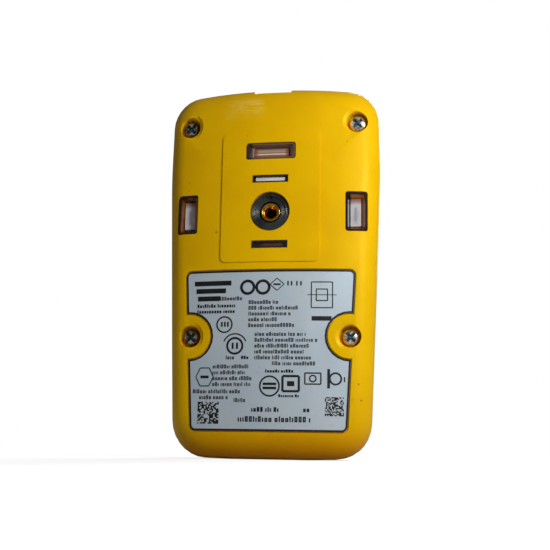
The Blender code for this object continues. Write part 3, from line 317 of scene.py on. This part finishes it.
def pipe_look(name, node, body, streak, end):
    """The end of a light pipe, with its lamp's soft streak and a warm tint at its upper end."""
    low, high, middle = box_mm(node)
    look = Look(name, body, 0.3, **{"Coat_Weight": 0.3, "Coat_Roughness": 0.15})
    look.set("Subsurface Weight", 0.2)
    look.set("Subsurface Scale", 0.001)
    cloud = look.ramp(look.noise(380.0, 3.0), [(0.35, 0.0), (0.7, 1.0)])
    base = look.mix(body, tuple(c * 0.82 for c in body), cloud)
    line = look.inside(middle.x - 0.05, middle.z - 0.4, 0.02, 1.3, 0.62)
    base = look.mix(base, streak, look.maths("MULTIPLY", line, 0.7))
    upper = look.from_to(look.axis("Z"), high.z - 1.5, high.z - 0.3)
    look.drive("Base Color", look.mix(base, end, look.maths("MULTIPLY", upper, 0.8)))
    look.bump(look.noise(700.0, 2.0), 0.00002, 0.3)
    return look.mat


def banded_look(name, node, bands, ends):
    """The top light pipe: bands across it, and a warm tint at both of its ends."""
    low, high, middle = box_mm(node)
    look = Look(name, bands[0][1], 0.25, **{"Coat_Weight": 0.5, "Coat_Roughness": 0.08})
    wave = look.maths("MULTIPLY", look.noise(300.0, 2.0), 0.3)
    height = look.maths("DIVIDE", look.maths("SUBTRACT", look.axis("Z"), low.z), high.z - low.z)
    height = look.maths("ADD", height, look.maths("MULTIPLY", wave, 0.2))
    base = look.ramp(height, bands)
    warm = look.from_to(look.away("X", 0.0), high.x - 1.1, high.x - 0.3)
    look.drive("Base Color", look.mix(base, ends, look.maths("MULTIPLY", warm, 0.75)))
    look.bump(look.noise(1000.0, 2.0, 0.5, (0.3, 1.0, 1.0)), 0.00003, 0.4)
    return look.mat


def plain_look(name, colour, roughness, metallic=0.0, grain=2500.0, depth=0.00001, **sockets):
    look = Look(name, colour, roughness, metallic, **sockets)
    dark = tuple(c * 0.82 for c in colour)
    cloud = look.noise(grain / 12, 3.0)
    look.drive("Base Color", look.mix(dark, colour, look.ramp(cloud, [(0.3, 0.0), (0.6, 1.0)])))
    rough = [(0.3, roughness * 0.85), (0.7, min(1.0, roughness * 1.2))]
    look.drive("Roughness", look.ramp(look.noise(grain / 4, 3.0), rough))
    look.bump(look.noise(grain, 2.0), depth, 0.4)
    return look.mat


def label_look():
    look = Look("label_film", linear(196, 210, 219), 0.42, 0.2)
    cloud = look.ramp(look.noise(70.0, 2.0), [(0.35, 0.0), (0.65, 1.0)])
    base = look.mix(linear(194, 209, 220), linear(200, 212, 220), cloud)
    fine = look.ramp(look.noise(1400.0, 2.0), [(0.62, 0.0), (0.75, 1.0)])
    look.drive("Base Color", look.mix(base, linear(172, 184, 194), look.maths("MULTIPLY", fine, 0.35)))
    rub = look.noise(220.0, 4.0, 0.6, (1.0, 1.0, 0.2))
    look.drive("Roughness", look.ramp(rub, [(0.3, 0.36), (0.7, 0.48)]))
    look.bump(look.noise(4000.0, 2.0), 0.000004, 0.4)
    return look.mat


YELLOW = yellow_look()
SMOKED = smoked_look()
PIPE = plain_look("light_pipe", linear(226, 222, 226), 0.35, grain=1500.0)
LABEL = label_look()
INK = plain_look("label_ink", linear(10, 10, 13), 0.5)
STEEL = plain_look("screw_steel", linear(178, 192, 204), 0.24, 1.0)
BRASS = plain_look("brass", linear(226, 172, 74), 0.2, 1.0)
RUBBER = plain_look("black_rubber", linear(24, 24, 25), 0.75)
BLACK = plain_look("black_plastic", linear(26, 26, 28), 0.42, grain=3500.0)
BOARD = plain_look("board_green", linear(24, 92, 48), 0.45)
GLASS = plain_look("pane", linear(14, 15, 17), 0.08, Coat_Weight=0.6, Coat_Roughness=0.03)
CELL = plain_look("cell_sleeve", linear(60, 96, 150), 0.35)
NICKEL = plain_look("nickel", (0.6, 0.58, 0.54), 0.3, 1.0)
FELT = plain_look("membrane", linear(225, 225, 220), 0.9)
LENS = smoked_look("red_lens", linear(120, 60, 44), 0.12)
BORE_SHADE = plain_look("bore_painted_shade", linear(10, 9, 8), 0.6)
SCREEN = plain_look("screen_film", linear(138, 148, 128), 0.3, Coat_Weight=0.6, Coat_Roughness=0.05)
SEGMENT = plain_look("screen_segment", linear(28, 32, 30), 0.35)

BY_SLOT = {
    "yellow": YELLOW, "smoked": SMOKED, "lens": LENS, "white": PIPE, "label": LABEL, "steel": STEEL,
    "brass": BRASS, "rubber": RUBBER, "black": BLACK, "board": BOARD, "glass": GLASS, "cell": CELL,
    "nickel": NICKEL, "felt": FELT,
}
DARK_RIM = linear(22, 13, 10)
AMBER, DEEP_AMBER = linear(150, 84, 26), linear(100, 52, 18)
PALE, GREY_STREAK, RED_END = linear(206, 202, 206), linear(140, 136, 142), linear(130, 84, 62)
TOP_BANDS = [
    (0.0, linear(150, 112, 84)), (0.22, linear(150, 96, 64)), (0.33, linear(250, 236, 222)),
    (0.44, linear(150, 112, 92)), (0.66, linear(176, 150, 134)), (1.0, linear(120, 96, 82)),
]
BY_NODE = {
    "clip_boss": boss_look(),
    "window_frame_left": frame_look("amber_left", "window_frame_left", DARK_RIM, AMBER, DEEP_AMBER),
    # Right window: walls painted a bright amber, a painted glow of light through the plastic, and painted
    # shade at the left end.
    "window_frame_right": frame_look(
        "amber_right", "window_frame_right", DARK_RIM, linear(236, 146, 52), linear(196, 108, 38),
        linear(14, 8, 6),
    ),
    # Top window: painted shade at its left end.
    "window_frame_top": frame_look(
        "smoke_top", "window_frame_top", linear(108, 82, 66), linear(216, 184, 164), linear(196, 148, 118),
        linear(52, 42, 34),
    ),
    "light_pipe_left": pipe_look("pipe_left", "light_pipe_left", PALE, GREY_STREAK, RED_END),
    "light_pipe_right": pipe_look("pipe_right", "light_pipe_right", PALE, GREY_STREAK, RED_END),
    "light_pipe_top": banded_look("pipe_top", "light_pipe_top", TOP_BANDS, linear(140, 62, 26)),
}
for name in NODES:
    if name.startswith("case_screw"):
        BY_NODE[name] = screw_look(name)

slot_of = {part["node"]: part["material_slot"] for part in frame["record"]["subparts"]}
for name, node in NODES.items():
    node.data.materials.clear()
    node.data.materials.append(BY_NODE.get(name, BY_SLOT[slot_of[name]]))


# --- Smooth surfaces on the CAD nodes ---


def polish(name, width, segments=2, angle=38):
    node = NODES[name]
    if "custom_normal" in node.data.attributes:
        node.data.attributes.remove(node.data.attributes["custom_normal"])
    node.data.shade_smooth()
    weld = node.modifiers.new("weld", "WELD")
    weld.merge_threshold = 1e-6
    if width:
        bevel = node.modifiers.new("edges", "BEVEL")
        bevel.width = width * MM
        bevel.segments = segments
        bevel.limit_method = "ANGLE"
        bevel.angle_limit = math.radians(angle)
        bevel.harden_normals = True
    else:
        split = node.modifiers.new("split", "EDGE_SPLIT")
        split.split_angle = math.radians(angle)


ROUND_OVER = {
    "rear_cover": 0.22, "front_cover": 0.22, "rating_label": 0, "clip_boss": 0.1, "push_button": 0.12,
    "sensor_grille": 0.12, "threaded_insert": 0.06,
}
for name in NODES:
    polish(name, ROUND_OVER.get(name, 0))


# --- New pieces ---


def piece(name, mesh, look, body="housing"):
    """Puts a mesh in the scene as a piece of the object."""
    mesh.materials.append(look)
    obj = bpy.data.objects.new(name, mesh)
    bpy.context.scene.collection.objects.link(obj)
    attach(obj, body)
    return obj


def mesh_of(name, points, faces, smooth=False):
    """A mesh from points in millimetres."""
    mesh = bpy.data.meshes.new(name)
    mesh.from_pydata([tuple(c * MM for c in point) for point in points], [], faces)
    mesh.validate()
    if smooth:
        mesh.shade_smooth()
    return mesh


def surface_of(node):
    mesh = NODES[node].data
    return BVHTree.FromPolygons([v.co for v in mesh.vertices], [tuple(p.vertices) for p in mesh.polygons])


LABEL_SURFACE = surface_of("rating_label")
LIFT = 0.03


def label_y(x, z):
    """The label's face at (x, z), all in millimetres."""
    hit = LABEL_SURFACE.ray_cast(Vector((x * MM, -0.05, z * MM)), Vector((0, 1, 0)))
    if hit[0] is None:
        hit = LABEL_SURFACE.find_nearest(Vector((x * MM, REAR_Y * MM, z * MM)))
    return hit[0].y / MM


class Print:
    """Flat printed shapes that follow a face: quads in (x, z) that all face the same way."""

    def __init__(self, depth_at, side=-1):
        self.depth_at, self.side = depth_at, side
        self.points, self.faces = [], []

    def quad(self, *corners):
        start = len(self.points)
        self.points += [(x, self.depth_at(x, z) + self.side * LIFT, z) for x, z in corners]
        self.faces.append(tuple(start + k for k in range(4)))

    def bar(self, x0, z0, x1, z1):
        """An upright rectangle, in short lengths so that it follows the face."""
        steps = max(1, math.ceil(abs(x1 - x0) / 1.5))
        for k in range(steps):
            a, b = x0 + (x1 - x0) * k / steps, x0 + (x1 - x0) * (k + 1) / steps
            self.quad((a, z0), (b, z0), (b, z1), (a, z1))

    def line(self, start, end, width):
        start, end = Vector(start), Vector(end)
        across = (end - start).normalized().orthogonal() * width / 2
        steps = max(1, math.ceil((end - start).length / 1.5))
        for k in range(steps):
            a, b = start.lerp(end, k / steps), start.lerp(end, (k + 1) / steps)
            self.quad(a - across, b - across, b + across, a + across)

    def outline(self, corners, width):
        for a, b in zip(corners, corners[1:] + corners[:1]):
            self.line(a, b, width)

    def frame(self, x0, z0, x1, z1, width):
        self.outline([(x0, z0), (x1, z0), (x1, z1), (x0, z1)], width)

    def ring(self, x, z, radius, width, sides=28, first=0.0, sweep=1.0):
        turns = [2 * math.pi * (first + sweep * k / sides) for k in range(sides + 1)]
        for a, b in zip(turns, turns[1:]):
            inner, outer = radius - width / 2, radius + width / 2
            ends = ((inner, a), (outer, a), (outer, b), (inner, b))
            self.quad(*[(r * math.cos(t) + x, r * math.sin(t) + z) for r, t in ends])

    def words(self, x0, x1, z, height, heavy=False):
        """A line of ticks and small boxes in groups, where the label has print. They spell nothing."""
        stroke = 0.3 if heavy else 0.2
        width = max(0.46, height * 0.56)
        low, x = z - height / 2, x0
        while x < x1 - width:
            for _ in range(RNG.randint(3, 11)):
                if x > x1 - width:
                    break
                tall = height * RNG.choice((1.0, 0.74, 0.74))
                self.bar(x, low, x + stroke, low + tall)
                if RNG.random() < 0.62:
                    self.bar(x + width - stroke, low, x + width, low + tall)
                    for level in (low, low + tall - stroke * 0.8):
                        self.bar(x + stroke, level, x + width - stroke, level + stroke * 0.8)
                    x += width
                else:
                    x += stroke
                x += height * 0.2
            x += height * 0.36

    def mosaic(self, x0, z0, x1, z1, cells):
        """A square of seeded random cells, which codes nothing."""
        width, height = (x1 - x0) / cells, (z1 - z0) / cells
        for row in range(cells):
            for column in range(cells):
                if RNG.random() < 0.55:
                    x, z = x0 + column * width, z0 + row * height
                    self.bar(x, z, x + width, z + height)

    def mesh(self, name):
        faces = self.faces if self.side < 0 else [face[::-1] for face in self.faces]
        return mesh_of(name, self.points, faces)


def label_border():
    """The black line round the label, from its own outline."""
    bm = bmesh.new()
    bm.from_mesh(NODES["rating_label"].data)
    bmesh.ops.remove_doubles(bm, verts=bm.verts, dist=1e-6)
    bm.normal_update()
    facing = [face for face in bm.faces if face.normal.y < -0.7]
    count = {}
    for face in facing:
        for edge in face.edges:
            count[edge] = count.get(edge, 0) + 1
    after = {}
    for face in facing:
        for loop in face.loops:
            if count[loop.edge] == 1:
                after[loop.vert] = loop.link_loop_next.vert
    start = min(after, key=lambda vert: (vert.co.z, vert.co.x))
    ring, vert = [start], after[start]
    while vert is not start:
        ring.append(vert)
        vert = after[vert]
    outline = [Vector((vert.co.x, vert.co.z)) / MM for vert in ring]
    bm.free()
    kept = [outline[0]]
    for point in outline[1:]:
        if (point - kept[-1]).length > 0.05:
            kept.append(point)
    outline = kept
    area = sum(a.x * b.y - b.x * a.y for a, b in zip(outline, outline[1:] + outline[:1]))
    side = 1 if area > 0 else -1
    inner = []
    for k, point in enumerate(outline):
        before, behind = outline[k - 1], outline[(k + 1) % len(outline)]
        one, two = (point - before).normalized(), (behind - point).normalized()
        normal = (one + two).normalized()
        shrink = BORDER_WIDTH / max(0.5, math.cos(one.angle(two) / 2))
        inner.append(point + side * shrink * Vector((-normal.y, normal.x)))
    border = Print(label_y)
    middle = Vector((0.0, LABEL_MIDDLE.z))
    for k in range(len(outline)):
        j = (k + 1) % len(outline)
        pull = [p + (middle - p) * 0.0005 for p in (outline[k], outline[j])]
        border.quad(pull[0], pull[1], inner[j], inner[k])
    return border


border = label_border()
border_mesh = border.mesh("label_border")
bm = bmesh.new()
bm.from_mesh(border_mesh)
bm.normal_update()
bmesh.ops.reverse_faces(bm, faces=[face for face in bm.faces if face.normal.y > 0])
bm.to_mesh(border_mesh)
bm.free()
piece("label_border", border_mesh, INK)

LINE_PITCH = 1.3
SMALL, HEAVY = 0.85, 1.0
# Paragraphs of small print: the left edge, the top line, and how long each line is.
SMALL_PRINT = (
    (-4.5, 34.6, (7.0, 11.5, 9.5, 7.0, 11.0)),
    (-3.0, 27.4, (12.0, 14.5, 12.5, 11.5, 13.0)),
    (1.0, 20.9, (10.0,)),
    (-12.5, 20.2, (9.0, 8.0, 9.5, 9.0)),
    (-17.0, 14.7, (11.0,)),
    (-15.5, 13.4, (7.0,)),
    (-13.5, 35.5, (7.5,)),
    (-9.5, 22.2, (2.5,)),
    (-7.5, 12.8, (3.0,)),
)
# And of heavy print, with the height of its lines.
HEAVY_PRINT = (
    (-16.5, 33.9, (9.5, 9.0), 0.8),
    (-6.0, 22.2, (2.0,), 0.7),
    (-0.5, 19.2, (7.0,), 0.7),
    (2.5, 13.8, (5.0,), 0.6),
    (-3.5, 10.8, (6.5,), HEAVY),
    (8.0, 10.8, (2.0,), HEAVY),
    (-6.5, 8.7, (16.5,), 1.2),
)


def paragraph(sheet, left, top, lengths, height=SMALL, heavy=False):
    for k, length in enumerate(lengths):
        sheet.words(left, left + length, top - k * LINE_PITCH, height, heavy)


sheet = Print(label_y)
for left, top, lengths in SMALL_PRINT:
    paragraph(sheet, left, top, lengths)
for left, top, lengths, height in HEAVY_PRINT:
    paragraph(sheet, left, top, lengths, height, heavy=True)
for drop in (0.0, 1.75, 3.5):
    sheet.bar(-17.3 + drop * 0.25, 38.5 - drop, -8.6 - drop * 0.7, 39.6 - drop)
for x in (-4.8, -1.3):
    sheet.ring(x, 38.0, 1.45, 0.62)
sheet.outline([(0.3, 38.6), (1.9, 40.0), (3.5, 38.6), (1.9, 37.2)], 0.2)
sheet.bar(1.1, 38.4, 2.7, 38.8)
for x in (4.2, 5.0, 6.2, 7.1):
    sheet.bar(x, 38.3, x + 0.34, 39.3)
sheet.frame(9.6, 33.3, 14.3, 39.1, 0.24)
sheet.frame(10.7, 34.9, 13.2, 37.5, 0.24)
sheet.line((8.7, 36.2), (15.2, 36.2), 0.16)
sheet.bar(9.7, 30.4, 14.1, 31.4)
sheet.ring(-10.0, 29.6, 1.75, 0.34)
for x in (-10.8, -10.1, -9.4):
    sheet.bar(x, 29.1, x + 0.4, 30.2)
sheet.ring(-7.5, 24.8, 1.75, 0.46)
sheet.ring(-7.5, 24.8, 2.7, 0.3, 14, 0.06, 0.38)
for x in (-8.2, -7.2):
    sheet.bar(x, 24.1, x + 0.45, 25.5)
hexagon = [(-16.4, 17.9), (-15.4, 19.9), (-13.3, 19.9), (-12.3, 17.9), (-13.3, 15.9), (-15.4, 15.9)]
sheet.outline(hexagon, 0.24)
sheet.bar(-15.3, 17.6, -13.4, 18.2)
sheet.ring(0.5, 15.9, 2.15, 0.36)
for z in (16.1, 15.2):
    sheet.bar(-1.0, z, 2.0, z + 0.55)
sheet.frame(3.4, 14.8, 7.0, 18.1, 0.5)
sheet.bar(4.4, 15.9, 6.0, 17.0)
sheet.outline([(8.3, 16.4), (8.3, 18.8), (11.8, 18.8), (11.8, 16.4)], 0.3)
sheet.ring(10.05, 17.6, 0.7, 0.3, 16)
sheet.bar(13.2, 15.5, 13.8, 19.7)
sheet.ring(15.0, 17.6, 1.25, 0.4, 20)
sheet.bar(16.8, 16.9, 17.1, 18.0)
sheet.mosaic(-15.8, 7.6, -10.9, 12.4, 16)
sheet.mosaic(12.7, 9.5, 16.8, 13.6, 16)
piece("label_print", sheet.mesh("label_print"), INK)


def slot_liner(name, z):
    """The smoked liner that rims a slot in the pad."""
    outer, inner = (4.1, 0.86), (3.72, 0.52)
    top, bottom = REAR_Y + 0.08, REAR_Y + 1.9
    points, faces = [], []
    for y, half in ((bottom, outer), (top, outer), (top + 0.12, inner), (bottom, inner)):
        points += [(a * half[0], y, z + b * half[1]) for a, b in ((-1, -1), (1, -1), (1, 1), (-1, 1))]
    for level in range(4):
        for k in range(4):
            j = (k + 1) % 4
            a, b = level * 4, ((level + 1) % 4) * 4
            faces.append((a + k, a + j, b + j, b + k))
    return mesh_of(name, points, faces)


for ending, sign in (("upper", 1), ("lower", -1)):
    name = f"slot_liner_{ending}"
    piece(name, slot_liner(name, CLIP_Z + sign * SLOT_REACH), SMOKED)


def thread(turns=7, pitch=0.48, bore=1.6, crest=1.32, sides=28):
    """The thread in the insert's bore: a ridge along a helix."""
    start_y = INSERT_LOW.y + 0.35
    points, faces = [], []
    count = turns * sides
    section = ((bore, -0.2), (crest, -0.03), (crest, 0.03), (bore, 0.2))
    for k in range(count + 1):
        turn = 2 * math.pi * k / sides
        y = start_y + 0.2 + pitch * k / sides
        for radius, offset in section:
            points.append((radius * math.cos(turn), y + offset, CLIP_Z + radius * math.sin(turn)))
    for k in range(count):
        a, b = k * 4, (k + 1) * 4
        for j in range(3):
            faces.append((a + j, a + j + 1, b + j + 1, b + j))
    return mesh_of("insert_thread", points, faces, smooth=True)


piece("insert_thread", thread(), BRASS)

# Painted shade: a near-black disc deep in the insert's bore stands in for the shade there.
shade_disc_y = INSERT_HIGH.y - 0.75
turns = [2 * math.pi * k / 24 for k in range(24)]
rim = [(1.58 * math.cos(t), shade_disc_y - 0.05, CLIP_Z + 1.58 * math.sin(t)) for t in turns]
dish = [(0.7 * math.cos(t), shade_disc_y, CLIP_Z + 0.7 * math.sin(t)) for t in turns]
faces = [(k, (k + 1) % 24, 24 + (k + 1) % 24, 24 + k) for k in range(24)] + [tuple(range(24, 48))]
piece("bore_shade_disc", mesh_of("bore_shade_disc", rim + dish, faces), BORE_SHADE)


# The front: the screen's area and marks, printed on the display's window.


def pane_print(name, look, draw, lift=0.0):
    shapes = Print(lambda x, z: PANE_HIGH.y + lift, side=1)
    draw(shapes)
    return piece(name, shapes.mesh(name), look)


SCREEN_HALF = (11.6, 7.4)
# The ends of a nought's six segments, in a grid one wide and two high.
SEGMENTS = ((0, 2, 1, 2), (1, 1, 1, 2), (1, 0, 1, 1), (0, 0, 1, 0), (0, 0, 0, 1), (0, 1, 0, 2))


def draw_screen(shapes):
    z = PANE_MIDDLE.z
    shapes.bar(-SCREEN_HALF[0], z - SCREEN_HALF[1], SCREEN_HALF[0], z + SCREEN_HALF[1])


def draw_digit(shapes):
    """A nought in six segments, a row of small blocks and a plain frame."""
    size, left, low = 4.2, -2.1, PANE_MIDDLE.z - 4.2
    for x0, z0, x1, z1 in SEGMENTS:
        start = Vector((left + x0 * size, low + z0 * size))
        end = Vector((left + x1 * size, low + z1 * size))
        along = (end - start).normalized() * 0.25
        shapes.line(start + along, end - along, 0.85)
    for k in range(5):
        x = 6.0 + k * 0.85
        shapes.bar(x, PANE_MIDDLE.z - 6.2, x + 0.6, PANE_MIDDLE.z - 5.2)
    shapes.frame(-10.4, PANE_MIDDLE.z + 4.4, -7.2, PANE_MIDDLE.z + 6.0, 0.25)


pane_print("screen_area", SCREEN, draw_screen)
pane_print("screen_digit", SEGMENT, draw_digit, 0.02)

# --- Stage, light and camera ---

bm = bmesh.new()
bmesh.ops.create_grid(bm, x_segments=1, y_segments=1, size=3.0)
mesh = bpy.data.meshes.new("floor")
bm.to_mesh(mesh)
bm.free()
floor = bpy.data.objects.new("floor", mesh)
bpy.context.scene.collection.objects.link(floor)
floor_look = Look("floor_white", (0.5, 0.5, 0.5), 0.9, Emission_Color=(1.0, 1.0, 1.0, 1.0))
floor_look.drive("Base Color", floor_look.ramp(floor_look.noise(3.0), [(0.3, 0.44), (0.7, 0.46)]))
seen = floor_look.tree.nodes.new("ShaderNodeLightPath").outputs["Is Camera Ray"]
dx, dy = floor_look.axis("X"), floor_look.axis("Y")
far = floor_look.maths("ADD", floor_look.maths("MULTIPLY", dx, dx), floor_look.maths("MULTIPLY", dy, dy))
far = floor_look.from_to(floor_look.maths("SQRT", far), 40.0, 320.0)
glow = floor_look.maths("ADD", floor_look.maths("MULTIPLY", far, 0.32), 0.68)
floor_look.drive("Emission Strength", floor_look.maths("MULTIPLY", glow, seen))
mesh.materials.append(floor_look.mat)

bpy.context.scene.view_settings.view_transform = "Standard"
world = bpy.data.worlds.new("studio")
bpy.context.scene.world = world
world.use_nodes = True
tree = world.node_tree
backdrop = tree.nodes["Background"]
backdrop.inputs["Color"].default_value = (1.0, 1.0, 1.0, 1.0)
path = tree.nodes.new("ShaderNodeLightPath")
level = tree.nodes.new("ShaderNodeMapRange")
level.inputs["To Min"].default_value = 0.13
level.inputs["To Max"].default_value = 1.0
tree.links.new(path.outputs["Is Camera Ray"], level.inputs["Value"])
tree.links.new(level.outputs["Result"], backdrop.inputs["Strength"])


def area_light(name, place, target, power, size):
    data = bpy.data.lights.new(name, "AREA")
    data.energy = power
    data.shape = "DISK"
    data.size = size
    lamp = bpy.data.objects.new(name, data)
    lamp.location = place
    lamp.rotation_mode = "QUATERNION"
    lamp.rotation_quaternion = (Vector(target) - Vector(place)).to_track_quat("-Z", "Y")
    bpy.context.scene.collection.objects.link(lamp)


middle = (0.0, 0.0, 0.045)
area_light("key", (0.108, -0.116, 0.097), middle, 0.205, 0.06)
area_light("back_fill", (0.12, 0.6, 0.35), middle, 4.0, 0.4)

LENS_MM = 58.9
CAMERA_PLACE = (0.0318, -0.20955, CLIP_Z * MM - 0.0531)
CAMERA_TURN = Vector((-0.1914, -0.1517, -0.0014))  # away from looking straight at the rear face

camera_data = bpy.data.cameras.new("camera")
camera_data.lens = LENS_MM
camera_data.sensor_width = 36.0
camera_data.clip_start = 0.005
camera = bpy.data.objects.new("camera", camera_data)
turn = Matrix.Rotation(CAMERA_TURN.length, 3, CAMERA_TURN.normalized())
columns = [Vector((turn[i][0], -turn[i][2], turn[i][1])) for i in range(3)]
camera.matrix_world = Matrix.Translation(CAMERA_PLACE) @ Matrix(columns).transposed().to_4x4()
bpy.context.scene.collection.objects.link(camera)
bpy.context.scene.camera = camera
